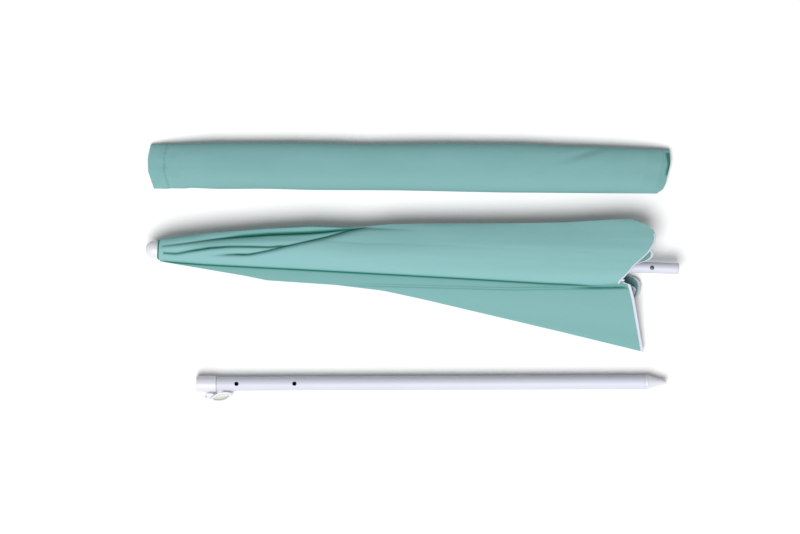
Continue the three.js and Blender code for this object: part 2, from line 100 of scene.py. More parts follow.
LIGHT_FROM = Vector((-0.8, -2.2, 4.1))
LIGHT_SPREAD = math.radians(42)
LIGHT_POWER = 3.6
SKY_POWER = 0.33
light_data = bpy.data.lights.new("key_light", "SUN")
light_data.energy = LIGHT_POWER
light_data.angle = LIGHT_SPREAD
key_light = bpy.data.objects.new("key_light", light_data)
key_light.location = LIGHT_FROM
key_light.rotation_euler = (-LIGHT_FROM).to_track_quat("-Z", "Y").to_euler()
bpy.context.collection.objects.link(key_light)
world = bpy.data.worlds.new("sky")
bpy.context.scene.world = world
world.use_nodes = True
world.node_tree.nodes["Background"].inputs["Color"].default_value = (1, 1, 1, 1)
world.node_tree.nodes["Background"].inputs["Strength"].default_value = SKY_POWER

# %% [markdown]
# ## Writing materials as sums
#
# A shader network is arithmetic, so it reads best as arithmetic. `Socket` wraps one output; adding or
# multiplying two of them adds a Math node. `Shader.node` makes any other node.

# %% A small language for shaders
class Socket:
    def __init__(self, shader, link):
        self.shader = shader
        self.link = link

    def _math(self, operation, first, second):
        return self.shader.node("ShaderNodeMath", {"operation": operation}, {0: first, 1: second})

    def __add__(self, other):
        return self._math("ADD", self, other)

    def __sub__(self, other):
        return self._math("SUBTRACT", self, other)

    def __mul__(self, other):
        return self._math("MULTIPLY", self, other)

    def __pow__(self, other):
        return self._math("POWER", self, other)

    def __rsub__(self, other):
        return self._math("SUBTRACT", other, self)

    __radd__ = __add__
    __rmul__ = __mul__


class Shader:
    def __init__(self, name, roughness=0.5, **constants):
        self.material = bpy.data.materials.new(name)
        self.material.use_nodes = True
        self.tree = self.material.node_tree
        self.surface = self.tree.nodes["Principled BSDF"]
        self.surface.inputs["Roughness"].default_value = roughness
        for label, value in constants.items():
            self.surface.inputs[label.replace("_", " ")].default_value = value

    def node(self, kind, settings=None, values=None, output=0):
        made = self.tree.nodes.new(kind)
        for label, value in (settings or {}).items():
            setattr(made, label, value)
        for label, value in (values or {}).items():
            if isinstance(value, Socket):
                self.tree.links.new(value.link, made.inputs[label])
            else:
                made.inputs[label].default_value = value
        return Socket(self, made.outputs[output])

    def feed(self, label, value):
        self.tree.links.new(value.link, self.surface.inputs[label])

    def place(self, scale=(1, 1, 1), source="Object"):
        spot = self.node("ShaderNodeTexCoord", output=source)
        return self.node("ShaderNodeMapping", None, {"Vector": spot, "Scale": scale})

    def noise(self, where, scale, detail=3.0, rough=0.5):
        values = {"Vector": where, "Scale": scale, "Detail": detail, "Roughness": rough}
        return self.node("ShaderNodeTexNoise", None, values, "Fac")

    def mix(self, factor, first, second):
        settings = {"data_type": "RGBA", "blend_type": "MIX"}
        return self.node("ShaderNodeMix", settings, {0: factor, 6: first, 7: second}, 2)

    def inside_bore(self, start, slope, height, radius):
        """1 for points nearer than radius to a level line that leaves start with this slope."""
        spot = self.node("ShaderNodeTexCoord", output="Object")
        x, y, z = (self.node("ShaderNodeSeparateXYZ", None, {0: spot}, k) for k in range(3))
        aside = y - (x * slope + start)
        away = (aside**2.0 + (z - height) ** 2.0) ** 0.5
        return self._less(away, radius)

    def _less(self, value, limit):
        return self.node("ShaderNodeMath", {"operation": "LESS_THAN"}, {0: value, 1: limit})

    def bump(self, height, strength, distance):
        values = {"Height": height, "Strength": strength, "Distance": distance}
        self.feed("Normal", self.node("ShaderNodeBump", None, values))


def grey(level):
    return (level, level, level, 1)


print("shader words ready")

# %% [markdown]
# ## The finishes
#
# Powder coat is a hard satin skin with a faint orange peel. Moulded plastic is smoother, and its surface
# shows a very slight flow. Both are white with a touch of violet, because a pure grey white looks dead
# beside the cloth.

# %% White paint, plastic, rods and bare metal
def painted_metal(name="white_powder_coat", bore_shade=None):
    shader = Shader(name, 0.5, Coat_Weight=0.04, Coat_Roughness=0.3)
    where = shader.place()
    peel = shader.noise(where, 900, 2)
    tone = shader.noise(where, 6, 2)
    coat = shader.mix(tone, (0.49, 0.50, 0.575, 1), (0.54, 0.55, 0.63, 1))
    # Near black inside the bore: painted shade of the deep hole.
    if bore_shade:
        coat = shader.mix(shader.inside_bore(*bore_shade), coat, (0.012, 0.012, 0.014, 1))
    shader.feed("Base Color", coat)
    shader.feed("Roughness", shader.noise(where, 30, 4) * 0.12 + 0.46)
    shader.bump(peel, 0.06, 0.0004)
    return shader.material


def moulded_plastic(name="white_moulded_plastic", low=(0.56, 0.56, 0.61, 1), high=(0.64, 0.635, 0.69, 1)):
    shader = Shader(name, 0.36)
    where = shader.place()
    shader.feed("Base Color", shader.mix(shader.noise(where, 14, 3), low, high))
    shader.feed("Roughness", shader.noise(where, 60, 5) * 0.16 + 0.28)
    shader.bump(shader.noise(where, 420, 3), 0.1, 0.0003)
    return shader.material


def fibreglass():
    shader = Shader("white_fibreglass", 0.42)
    where = shader.place((0.03, 1, 1))
    strand = shader.noise(where, 1500, 4)
    shader.feed("Base Color", shader.mix(strand, (0.66, 0.66, 0.68, 1), (0.82, 0.82, 0.85, 1)))
    shader.bump(strand, 0.15, 0.0003)
    return shader.material


def bare_steel(name="bare_steel", dark=(0.42, 0.42, 0.44, 1), light=(0.68, 0.68, 0.70, 1)):
    shader = Shader(name, 0.3, Metallic=1.0)
    where = shader.place((1, 1, 0.1))
    brush = shader.noise(where, 1800, 3)
    shader.feed("Base Color", shader.mix(brush, dark, light))
    shader.feed("Roughness", brush * 0.25 + 0.2)
    return shader.material


paint = painted_metal()
plastic = moulded_plastic()
rods = fibreglass()
steel = bare_steel()
# The snap button is steel, painted very dark as the shade of the hole it sits in.
hole_shaded_steel = bare_steel("hole_shaded_steel", (0.06, 0.06, 0.065, 1), (0.16, 0.16, 0.17, 1))
LOWER_TURN = math.radians(0.21)
LOWER_END = Vector((-486.2, -251.7, 18)) * MM
LOWER_BORE = 15.2 * MM
LOWER_SLOPE = math.tan(LOWER_TURN)
lower_start = LOWER_END.y - LOWER_SLOPE * LOWER_END.x
# The lower tube's bore is painted near black inside: mostly painted shade of the deep hole, partly its bare
# unpainted inside.
bore_shade = (lower_start, LOWER_SLOPE, LOWER_END.z, LOWER_BORE)
bore_shaded_paint = painted_metal("white_powder_coat_bore_shade", bore_shade)
print("finishes:", paint.name, plastic.name, rods.name, steel.name)

# %% [markdown]
# The canopy is a light plain-weave polyester. Two things make it read as cloth: a weave so fine that it only
# softens the shine, and slow changes of tone along the threads. The pattern follows the piece's own UV map,
# whose units are metres of cloth. Its folds are painted a deeper green: painted shade for the light that
# bounces between two mint faces and loses its red.

# %% Cloth, binding and floor
def woven_cloth(name, light, deep, shade_colour):
    shader = Shader(name, 0.62, Sheen_Weight=0.03, Sheen_Roughness=0.4, Specular_IOR_Level=0.15)
    cloth = shader.place(source="UV")
    threads = shader.place((1, 0.05, 1), "UV")
    slub = shader.noise(threads, 900, 3)
    cloud = shader.noise(cloth, 7, 4, 0.6)
    tone = shader.mix(cloud * 0.55 + slub * 0.45, deep, light)
    # The attribute is 0 on open cloth and 1 where the cloth gets the full painted crease shade.
    painted_shade = shader.node("ShaderNodeAttribute", {"attribute_name": "painted_shade"}, None, "Fac")
    shader.feed("Base Color", shader.mix(painted_shade, tone, shade_colour))
    weave = [
        shader.node("ShaderNodeTexWave", {"bands_direction": way}, {"Vector": cloth, "Scale": 420.0}, "Fac")
        for way in ("X", "Y")
    ]
    shader.feed("Roughness", cloud * 0.14 + 0.52)
    pucker = shader.noise(shader.place((1, 0.25, 1), "UV"), 60, 4)
    shader.bump(weave[0] * weave[1] * 0.15 + pucker * 1.2 + slub * 0.1, 0.28, 0.0016)
    return shader.material


def binding_and_rim_shade(name, light, deep):
    shader = Shader(name, 0.7)
    run = shader.place((260, 1, 1), "UV")
    stitch = shader.node("ShaderNodeTexWave", {"bands_direction": "X"}, {"Vector": run, "Scale": 0.5}, "Fac")
    shader.feed("Base Color", shader.mix(stitch * 0.35, light, deep))
    shader.bump(stitch + shader.noise(run, 3, 2) * 0.6, 0.3, 0.0006)
    return shader.material


MINT_LIGHT = (0.216, 0.410, 0.411, 1)
MINT_DEEP = (0.174, 0.364, 0.364, 1)
# The colour of the painted shade in the folds and creases of both cloths.
MINT_CREASE_SHADE = (0.003, 0.120, 0.090, 1)
SLEEVE_LIGHT = (0.183, 0.355, 0.357, 1)
SLEEVE_DEEP = (0.147, 0.311, 0.311, 1)
mint = woven_cloth("mint_canopy_cloth", MINT_LIGHT, MINT_DEEP, MINT_CREASE_SHADE)
mint_sleeve = woven_cloth("mint_sleeve_cloth", SLEEVE_LIGHT, SLEEVE_DEEP, MINT_CREASE_SHADE)
tape = binding_and_rim_shade("white_binding", (0.56, 0.58, 0.65, 1), (0.40, 0.43, 0.50, 1))
# Deep green painted shade for the collar's rim, made like the stitched tape.
rim_shade_tape = binding_and_rim_shade("deep_green_rim_shade", (0.015, 0.13, 0.105, 1), (0.008, 0.08, 0.065, 1))
shaded = moulded_plastic("shaded_plastic", (0.10, 0.10, 0.14, 1), (0.14, 0.14, 0.18, 1))
mark_plastic = moulded_plastic("grey_mark_plastic", (0.26, 0.26, 0.33, 1), (0.32, 0.32, 0.40, 1))

paper = Shader("white_floor", 0.9)
paper.feed("Base Color", paper.mix(paper.noise(paper.place(), 3, 2), grey(0.85), grey(0.86)))
floor.data.materials.append(paper.material)

FINISHES = {
    "white_paint": paint, "white_plastic": plastic, "rib_fibreglass": rods,
    "canopy_cloth": mint, "sleeve_cloth": mint_sleeve, "bare_steel": steel,
}
for entry in frame["record"]["subparts"]:
    for place in nodes[entry["node"]].material_slots:
        place.material = FINISHES[entry["material_slot"]]
# The lower tube's paint has its bore painted near black as shade.
for place in nodes["lower_pole_tube"].material_slots:
    place.material = bore_shaded_paint
# The snap button's steel is painted dark: painted shade of its hole.
for place in nodes["snap_button"].material_slots:
    place.material = hole_shaded_steel

# %% [markdown]
# ## The umbrella's own directions
#
# The folded umbrella lies a little askew, so its cloth is drawn in its own directions: u runs along the pole
# from the crown, v across it, and z up. The runner's joint gives u, and the middle of the eight rib hinges is
# a point on the pole's axis.

# %% u, v and z
RIBS = 8
HINGE_U = 13 * MM
along = -Vector(joints["runner_slide"]["axis"]).normalized()
across = Vector((0, 0, 1)).cross(along)
hinges = [Vector(joints[f"rib_{i + 1}_swing"]["pos_m"]) for i in range(RIBS)]
crown = sum(hinges, Vector()) / RIBS - along * HINGE_U
TO_WORLD = np.array([along, across, (0, 0, 1)])


def to_world(points):
    """points are rows of u, v, z in millimetres."""
    return np.asarray(points) * MM @ TO_WORLD + np.array(crown)


print("crown at", [round(value, 4) for value in crown])

# %% [markdown]
# ## How the cloth is folded
#
# The canopy has eight gores. Folded, each gore is doubled over between its two ribs, and the folds lie in
# layers, five to one side and three to the other. Looking along the pole at the hem, each half of a gore is a
# line from its rib out to the fold. These are those lines, from top to bottom of the stack. At the crown the
# same lines are gathered into a small round bundle.

# %% The layers at the hem
HALVES = {
    (1, "near"): [[-43, 21], [-44, 29], [-34, 38], [-16, 44], [0, 47], [14, 48], [35, 46.5], [65, 41],
                  [90, 32], [107, 24]],
    (1, "far"): [[0, 43.4], [14, 43], [35, 40.5], [65, 33.5], [90, 26], [107, 24]],
    (2, "near"): [[0, 39.6], [14, 40.6], [35, 38], [65, 31], [98, 17]],
    (2, "far"): [[35, 34.5], [65, 27], [98, 17]],
    (3, "near"): [[35, 30.8], [65, 22.5], [101, 5]],
    (3, "far"): [[65, 14.5], [101, 5]],
    (4, "near"): [[65, 8], [92, -8]],
    (4, "far"): [[65, -3], [92, -8]],
    (5, "near"): [[65, -14], [85, -25]],
    (5, "far"): [[35, -34], [65, -28], [85, -25]],
    (6, "near"): [[-14, -40], [-35, -40.2], [-60, -39.6], [-100, -36.5]],
    (6, "far"): [[-35, -37.6], [-60, -36], [-100, -36.5]],
    (7, "near"): [[-35, -33.6], [-60, -28], [-100, -28.6], [-112, -27.5]],
    (7, "far"): [[-60, -19], [-100, -24], [-112, -27.5]],
    (8, "near"): [[-60, -12.5], [-100, -17], [-140, -23.5], [-189, -31]],
    (8, "far"): [[-60, 4], [-100, -8], [-140, -18], [-189, -31]],
}
FOLD_ENDS = [1056, 1062, 1070, 1060, 1056, 1062, 1072, 1096]
RIB_HEM_U = 1038
CLOTH_START = 14
CROWN_RADIUS = 23
HEM_RADIUS = 37.5
BUNDLE_RADIUS = 28
GATHER_ACROSS = ([-189, -34, -14, 14, 34, 107], [-25.5, -20.5, -9, 9, 20.5, 25.5])
GATHER_UP = ([-42, -34, -14, 14, 34, 48], [-25, -20.5, -10, 10, 20.5, 25.5])


def rib_angle(rib):
    return math.radians(-67.5 + 45 * (rib - 1))


def rib_of(gore, side):
    return gore if side == "near" else gore % RIBS + 1


def smooth_line(points, count):
    """A smooth line through the points, as count points at even steps along it."""
    points = np.array(points, float)
    ends = [2 * points[0] - points[1], *points, 2 * points[-1] - points[-2]]
    fine = []
    for a, b, c, d in zip(ends, ends[1:], ends[2:], ends[3:]):
        for t in np.linspace(0, 1, 24, endpoint=False):
            bend = 2 * b + (c - a) * t + (2 * a - 5 * b + 4 * c - d) * t**2 + (3 * b - a - 3 * c + d) * t**3
            fine.append(bend / 2)
    fine = np.array([*fine, points[-1]])
    walked = np.concatenate([[0], np.cumsum(np.linalg.norm(np.diff(fine, axis=0), axis=1))])
    steps = np.linspace(0, walked[-1], count)
    return np.stack([np.interp(steps, walked, fine[:, k]) for k in range(fine.shape[1])], axis=1)


def gathered(section):
    side = np.interp(section[:, 0], *GATHER_ACROSS)
    room = np.sqrt(1 - (side / BUNDLE_RADIUS) ** 2)
    return np.stack([side, np.interp(section[:, 1], *GATHER_UP) * room], axis=1)


print("halves:", len(HALVES))

# %% [markdown]
# ## Creases
#
# The two layers on top are the ones that show, so they get the real cloth's creases. Near the crown the
# cloth is gathered in three long pleats, and the big smooth lobe starts at a diagonal crease. Where two
# pleats meet, the cloth dips to a narrow valley: each pleat is a rounded bank between two valley lines.

# %% Pleats near the crown
CREASE_A = ([5, 122, 180, 247, 331, 373, 427, 461], [7, 27, 35.5, 43, 49, 53.6, 61.5, 65.5])
CREASE_B = ([10, 39, 72, 114, 156, 206, 248, 290], [-7.5, -7.8, -0.2, 7.8, 12.2, 13.8, 14.2, 19.8])
CREASE_D = ([60, 123, 173, 199, 215, 249, 290, 374, 427, 461],
            [-10, -8.3, -4.6, -4, -1, 7.4, 19.2, 41.2, 58.5, 65.5])
LOBE_EDGE = ([2, 114, 234, 331, 451, 515, 582, 787, 912, 1015, 1056],
             [26.5, 44, 58.5, 67.5, 68, 76, 80, 88, 95, 105, 107])
LOBE_NEAR_EDGE = ([2, 103, 292, 542, 706, 870, 979, 1040],
                  [-25.4, -29.3, -32.1, -36.6, -39.9, -43.7, -44, -38])
FIN_EDGE = ([2, 192, 243, 398, 504, 588, 906, 1096], [-26, -51.3, -59.8, -64.6, -73.4, -88.3, -151, -190])
FIN_RIDGE = ([300, 541, 793, 1042], [-63, -61, -58.5, -46])


def fade(value, start, end):
    """0 up to start, 1 from end on, and a soft step between."""
    share = np.clip((value - start) / (end - start), 0, 1)
    return share * share * (3 - 2 * share)


def pleat(v, low, high, drop=3.0):
    """A pleat between two lines: it climbs slowly from low and falls steeply to high. 0 outside."""
    share = np.clip((v - low) / np.maximum(high - low, 1e-6), 0, 1)
    fall = 1 - np.exp(-np.clip(high - v, 0, None) / drop)
    return share**0.7 * fall * np.clip((high - low) / 8, 0, 1)


def valley_line(v, line, width):
    return np.exp(-(((v - line) / width) ** 2))


def bank_below(line, v):
    """The rounded shoulder of the smooth cloth that starts at a crease and sinks slowly away from it."""
    away = np.clip(line - v, 0, None)
    return 9.0 * (1 - np.exp(-away / 3.0)) * np.exp(-away / 60)


def lobe_relief(u, v):
    """Height of the pleats on the upper lobe in millimetres, and how much painted shade each point gets."""
    a, b, d = (np.interp(u, *line) for line in (CREASE_A, CREASE_B, CREASE_D))
    edge = np.interp(u, *LOBE_EDGE)
    leaf_starts = fade(u, 90, 190)
    b_ends = 1 - fade(u, 268, 292)
    a_ends = 1 - fade(u, 400, 458)
    gather = 0.35 + 0.65 * fade(u, 0, 60)
    outer = 10.0 * pleat(v, a, edge + 6) * a_ends
    middle = 7.5 * pleat(v, np.maximum(b, d), a) * a_ends
    leaf = 4.5 * pleat(v, d, b) * leaf_starts * b_ends
    below_b, below_d = bank_below(b, v), bank_below(d, v)
    swell = (below_b + (below_d - below_b) * leaf_starts) * (1 - fade(u, 380, 600))
    long_fold = 1.3 * np.sin((v - 0.03 * u) / 12) * fade(u, 380, 700) * (1 - fade(v, 30, 60))
    slack = 0.8 * (1 + np.sin(u / 120 + v / 24)) * fade(u, 450, 700) * fade(v, 10, 70)
    relief = (outer + middle + leaf + swell) * gather + long_fold + slack
    # Painted shade: deep along the three creases, softer beside crease A and along the fold edge, and full on
    # the lobe's lower bank under its overhang.
    under_edge = np.interp(u, *LOBE_NEAR_EDGE)
    wide_a = 1.7 + 2.3 * fade(u, 110, 210) - 1.4 * fade(u, 340, 430)
    depth = 1.2 * valley_line(v, a + 0.8, wide_a) * (0.6 + 0.4 * fade(u, 60, 200)) * a_ends
    depth += 1.2 * valley_line(v, b + 0.6, 2.2) * b_ends * (0.7 + 0.3 * fade(u, 20, 150))
    diagonal = leaf_starts * (0.3 + 0.7 * fade(u, 125, 160)) * (1 - fade(u, 440, 480))
    depth += 1.1 * valley_line(v, d + 0.8, 1.8) * diagonal
    depth += 0.26 * valley_line(v, a - 9, 8) * a_ends * fade(u, 40, 120)
    depth += 0.14 * valley_line(v, edge, 5) * fade(u, 20, 80)
    depth += 1.0 * np.exp(-np.clip(v - under_edge, 0, None) / 1.5) * (1 - fade(u, 900, 980))
    return relief, np.clip(depth, 0, 1)


def fin_relief(u, v):
    """The same for the lower fin, which comes out from under the lobe."""
    seam = np.interp(u, *LOBE_NEAR_EDGE)
    ridge = np.interp(u, *FIN_RIDGE)
    rise = 2.0 * (1 - np.exp(-np.clip(seam - v, 0, None) / 6))
    crest = 2.2 * np.exp(-(((v - ridge) / 2.4) ** 2)) * fade(u, 330, 520) * (1 - fade(u, 880, 960))
    tuck = -3.5 * np.exp(-(((v - ridge) / 3.0) ** 2)) * fade(u, 900, 1000) * (1 - fade(u, 1040, 1060))
    slack = 1.5 * np.sin((v + 0.11 * u) / 13) * fade(-v, 60, 100) * fade(u, 300, 800)
    # Painted shade: the whole fin is a little darker, as a single layer gives back less light than the
    # stacked lobe, and darker still along the seam under the lobe, beside its ridge and in its tuck.
    depth = 0.19 + 0.90 * valley_line(v, seam - 0.4, 2.5) * (1 - fade(u, 930, 1000))
    depth += 0.20 * np.exp(-np.clip(seam - v, 0, None) / 16)
    depth += 0.75 * valley_line(v, ridge, 1.7) * fade(u, 900, 990) * (1 - fade(u, 1040, 1056))
    depth += 0.30 * valley_line(v, ridge - 3, 1.5) * fade(u, 330, 520)
    return rise + crest + tuck + slack, np.clip(depth, 0, 1)


RELIEF = {(1, "near"): lobe_relief, (8, "far"): fin_relief}
EDGES = {1: LOBE_EDGE, 8: FIN_EDGE}
print("reliefs:", len(RELIEF))

# %% [markdown]
# ## The hem
#
# The hem of a gore is cut in a shallow curve, so each half ends further along the pole in its middle than at
# its rib. On the big lobe it runs out to a round corner.

# %% Where each half ends
HEMS = {
    (1, "near"): ([-45, -36, -33, 3, 23, 34, 57, 71, 84, 99, 107],
                  [1034, 1037, 1040, 1065, 1086, 1097, 1110, 1112, 1106, 1084, 1056]),
    (8, "far"): ([-189, -130, -70, -47, -39, -36], [1096, 1083, 1069.5, 1062, 1059, 1046]),
    (8, "near"): ([-189, -112, -84, -60, -36], [1093, 1068, 1063, 1056, 1042]),
    (7, "near"): ([-112, -80, -72, -62, -46, -32, -23, -15],
                  [1064, 1062, 1073, 1081, 1085, 1083, 1073, 1042]),
    (7, "far"): ([-112, -80, -62, -46, -36], [1064, 1060, 1070, 1074, 1042]),
    (2, "near"): ([0, 12, 22, 33, 44, 60, 98], [1042, 1088, 1105, 1108, 1099, 1084, 1062]),
}
HEM_BULGE = {1: 34, 2: 30, 3: 26, 4: 18, 5: 14, 6: 10, 7: 26}


def hem_ends(gore, side, section):
    if (gore, side) in HEMS:
        return np.interp(section[:, 0], *HEMS[gore, side])
    share = np.linspace(0, 1, len(section))
    straight = RIB_HEM_U + (FOLD_ENDS[gore - 1] - RIB_HEM_U) * share
    return straight + HEM_BULGE[gore] * np.sin(np.pi * share) ** 0.8


print("stated hems:", len(HEMS))

# %% [markdown]
# ## From layers to sheets
#
# A sheet is a grid: rows run round the pole, columns run along it. The first column is the rib's seam, the
# last is the fold. Just behind the crown the cloth is drawn in to a neck. Sixteen layers would be tedious to
# model by hand, so they are worked out in code.
#
# When the umbrella opens, a sheet's seam would follow the rib and the rest its half-gore, which turns out to
# the middle of the gap between the ribs. seam_band works out where that change falls: between the first two
# columns.

# %% Make a grid into a mesh
CROWN_U = 1.5
CLOTH_LENGTH = 1060
SHOWN_STEPS = (6.5, 1.9)
HIDDEN_STEPS = (20, 5)
NECK = ([1.5, 5, 9, 14], [0.90, 0.955, 0.99, 1.0])


def half_grid(gore, side):
    """Rows of u, v, z in millimetres, from the crown to the hem."""
    rib = rib_of(gore, side)
    turn = np.array([math.sin(rib_angle(rib)), math.cos(rib_angle(rib))])
    points = [HEM_RADIUS * turn, *HALVES[gore, side]]
    shown = (gore, side) in RELIEF
    row_step, column_step = SHOWN_STEPS if shown else HIDDEN_STEPS
    length = np.sum(np.linalg.norm(np.diff(np.array(points), axis=0), axis=1))
    hem = smooth_line(points, int(length / column_step) + 2)
    top = gathered(hem)
    top[0] = CROWN_RADIUS * turn
    ends = hem_ends(gore, side, hem)
    rows = int(CLOTH_LENGTH / row_step)
    grid = np.zeros((rows + 1, len(hem), 3))
    for row in range(rows + 1):
        first = (CROWN_U - CLOTH_START) / (ends - CLOTH_START)
        t = first + (1 - first) * (row / rows)
        grid[row, :, 0] = CLOTH_START + (ends - CLOTH_START) * t
        neck = np.interp(grid[row, :, :1], *NECK)
        grid[row, :, 1:] = (top + (hem - top) * t[:, None]) * neck
    return grid, shown


def fit_edge(grid, gore):
    """Moves the cloth out or in across the pole, so that its fold follows the folded outline."""
    if gore not in EDGES:
        return grid
    seam = grid[:, :1, 1]
    straight = grid[:, -1:, 1]
    wanted = np.interp(grid[:, -1:, 0], *EDGES[gore])
    scale = (wanted - seam) / (straight - seam)
    beyond = np.clip((grid[:, :, 1] - seam) / (straight - seam), 0, 1)
    grid[:, 1:, 1] += (beyond * (scale - 1) * (straight - seam))[:, 1:]
    return grid


def fit_overhang(grid):
    """Moves the lobe's lower bank in or out, so that it hides the rib by as much as the real one does."""
    v = grid[:, :, 1]
    lowest = v.min(axis=1, keepdims=True)
    wanted = np.interp(grid[:, :1, 0], *LOBE_NEAR_EDGE)
    share = np.clip((-8 - v) / (-8 - lowest), 0, 1) * np.clip(np.arange(v.shape[1]) / 3, 0, 1)
    grid[:, :, 1] += (wanted - lowest) * share
    return grid


def half_sheet(gore, side):
    grid, shown = half_grid(gore, side)
    fit_edge(grid, gore)
    share = np.linspace(0, 1, grid.shape[1])
    if (gore, side) == (1, "near"):
        fit_overhang(grid)
    if shown:
        start = 0.12 if gore == 1 else 0.04
        hold = fade(share, 0, start) * np.clip((1 - share) / 0.05, 0, 1)
        relief, painted_shade = RELIEF[gore, side](grid[:, :, 0], grid[:, :, 1])
        grid[:, :, 2] += relief * hold
    else:
        grid[:, :, 2] += 0.5 * np.sin(grid[:, :, 0] / 37 + gore) * np.sin(np.pi * share)
        # The hidden layers get an even painted shade.
        painted_shade = np.full(grid.shape[:2], 0.35)
    return grid, painted_shade


def grid_mesh(name, grid, material, painted_shade, closed_round=False):
    rows, columns = grid.shape[:2]
    world = to_world(grid.reshape(-1, 3))
    faces = []
    for row in range(rows - 1):
        for column in range(columns - (0 if closed_round else 1)):
            after = (column + 1) % columns
            faces.append((row * columns + column, (row + 1) * columns + column,
                          (row + 1) * columns + after, row * columns + after))
    mesh = bpy.data.meshes.new(name)
    mesh.from_pydata(world.tolist(), [], faces)
    across_steps = np.linalg.norm(np.diff(grid, axis=1), axis=2).mean(axis=0)
    run = np.concatenate([[0], np.cumsum(across_steps)]) * MM
    uv = mesh.uv_layers.new(name="UVMap")
    for face in mesh.polygons:
        face.use_smooth = True
        columns_here = [mesh.loops[k].vertex_index % columns for k in face.loop_indices]
        wraps = closed_round and 0 in columns_here and columns - 1 in columns_here
        for k in face.loop_indices:
            vertex = mesh.loops[k].vertex_index
            column = vertex % columns
            place = run[column] + (run[-1] if wraps and column == 0 else 0)
            uv.data[k].uv = (place, grid[vertex // columns, column, 0] * MM)
    # Each vertex keeps its amount of painted shade.
    layer = mesh.attributes.new("painted_shade", "FLOAT", "POINT")
    layer.data.foreach_set("value", painted_shade.reshape(-1).astype(np.float32))
    mesh.materials.append(material)
    piece = bpy.data.objects.new(name, mesh)
    bpy.context.collection.objects.link(piece)
    return piece


def seam_band(gore, side, grid):
    """Where the change from the rib's motion to the half-gore's starts and ends."""
    straight = grid[int(np.argmax(grid[:, 0, 0] > NECK[0][-1])) :]
    way = straight[-1, 0] - straight[0, 0]
    way /= np.linalg.norm(way)
    across_way = math.copysign(1, grid[-1, -1, 1] - grid[-1, 0, 1])
    out = np.array([0.0, 0.3, 1.0]) if (gore, side) == (1, "near") else np.array([0.0, across_way, 0.0])
    out -= out.dot(way) * way
    out /= np.linalg.norm(out)
    reach = ((grid[:, 1:] - grid[:, :1]) @ out).min()
    ends = to_world([straight[0, 0], straight[0, 0] + out * reach * 0.9])
    return tuple(ends[0]), tuple(ends[1]), reach


sheets = {}
grids = {}
for gore, side in HALVES:
    grid, painted_shade = half_sheet(gore, side)
    grids[gore, side] = grid
    piece = grid_mesh(f"canopy_{gore}_{side}", grid, mint, painted_shade)
    sheets[gore, side] = piece
    node = f"gore_{gore}_{side}_half"
    start, end, reach = seam_band(gore, side, grid)
    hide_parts(node)
    f"rib_{rib_of(gore, side)}"
    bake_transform(piece)
    print(piece.name, "faces:", len(piece.data.polygons), "band:", round(float(reach), 2), "mm")

# %% [markdown]
# ## Hem binding
#
# The edge of each gore is bound in white tape: a narrow strip folded over the cut edge and sewn through. Here
# it is a flat closed tube along the hem, a little thicker than the cloth.

# %% Bind the hems
TAPE_WIDTHS = [4.6, 6.0, 7.0, 7.0, 7.0, 7.0, 7.0, 7.0]
TAPE_THICKNESS = 1.2
TAPE_ENDS_V = 79
TAPE_PROFILE = [(-1.0, 0.0), (-0.97, 0.42), (0.75, 0.5), (1.0, 0.0), (0.75, -0.5), (-0.97, -0.42)]


def hem_tape(gore, side, grid):
    bound = len(grid[-1])
    if gore == 1:
        bound = int(np.argmax(grid[-1, :, 1] > TAPE_ENDS_V))
    hem = grid[-1, :bound]
    inward = hem - grid[-2, :bound]
    inward /= np.linalg.norm(inward, axis=1)[:, None]
    run = np.gradient(hem, axis=0)
    run[0] = (0, run[0][1], 0)
    inward[0] = (1, 0, 0)
    normal = np.cross(run, inward)
    normal /= np.linalg.norm(normal, axis=1)[:, None]
    rings = []
    for along_tape, thick in TAPE_PROFILE:
        shift = inward * (along_tape - 0.8) * TAPE_WIDTHS[gore - 1] / 2 + normal * thick * TAPE_THICKNESS
        rings.append(hem + shift)
    tube = np.stack(rings, axis=1)
    columns = tube.shape[1]
    rows = tube.shape[0]
    faces = []
    for row in range(rows - 1):
        for column in range(columns):
            after = (column + 1) % columns
            faces.append((row * columns + column, row * columns + after,
                          (row + 1) * columns + after, (row + 1) * columns + column))
    faces.append(tuple(range(columns))[::-1])
    faces.append(tuple((rows - 1) * columns + column for column in range(columns)))
    name = f"hem_{gore}_{side}"
    mesh = bpy.data.meshes.new(name)
    mesh.from_pydata(to_world(tube.reshape(-1, 3)).tolist(), [], faces)
    walked = np.concatenate([[0], np.cumsum(np.linalg.norm(np.diff(hem, axis=0), axis=1))]) * MM
    uv = mesh.uv_layers.new(name="UVMap")
    for loop in mesh.loops:
        uv.data[loop.index].uv = (walked[loop.vertex_index // columns], loop.vertex_index % columns * MM)
    for face in mesh.polygons:
        face.use_smooth = len(face.vertices) == 4
    mesh.materials.append(tape)
    piece = bpy.data.objects.new(name, mesh)
    bpy.context.collection.objects.link(piece)
    select_only(piece)
    bpy.ops.object.mode_set(mode="EDIT")
    bpy.ops.mesh.select_all(action="SELECT")
    bpy.ops.mesh.normals_make_consistent(inside=False)
    bpy.ops.object.mode_set(mode="OBJECT")
    return piece


def sewn_on(piece, gore, side):
    """Works out where its sheet's seam band lies, and bakes the tape's place into its mesh."""
    grid = grids[gore, side]
    start, end, _ = seam_band(gore, side, grid)
    f"rib_{rib_of(gore, side)}"
    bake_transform(piece)


tapes = {}
for (gore, side), grid in grids.items():
    tapes[gore, side] = hem_tape(gore, side, grid)
    sewn_on(tapes[gore, side], gore, side)
print("tapes:", len(tapes))

CLOTH_THICKNESS = 0.4 * MM


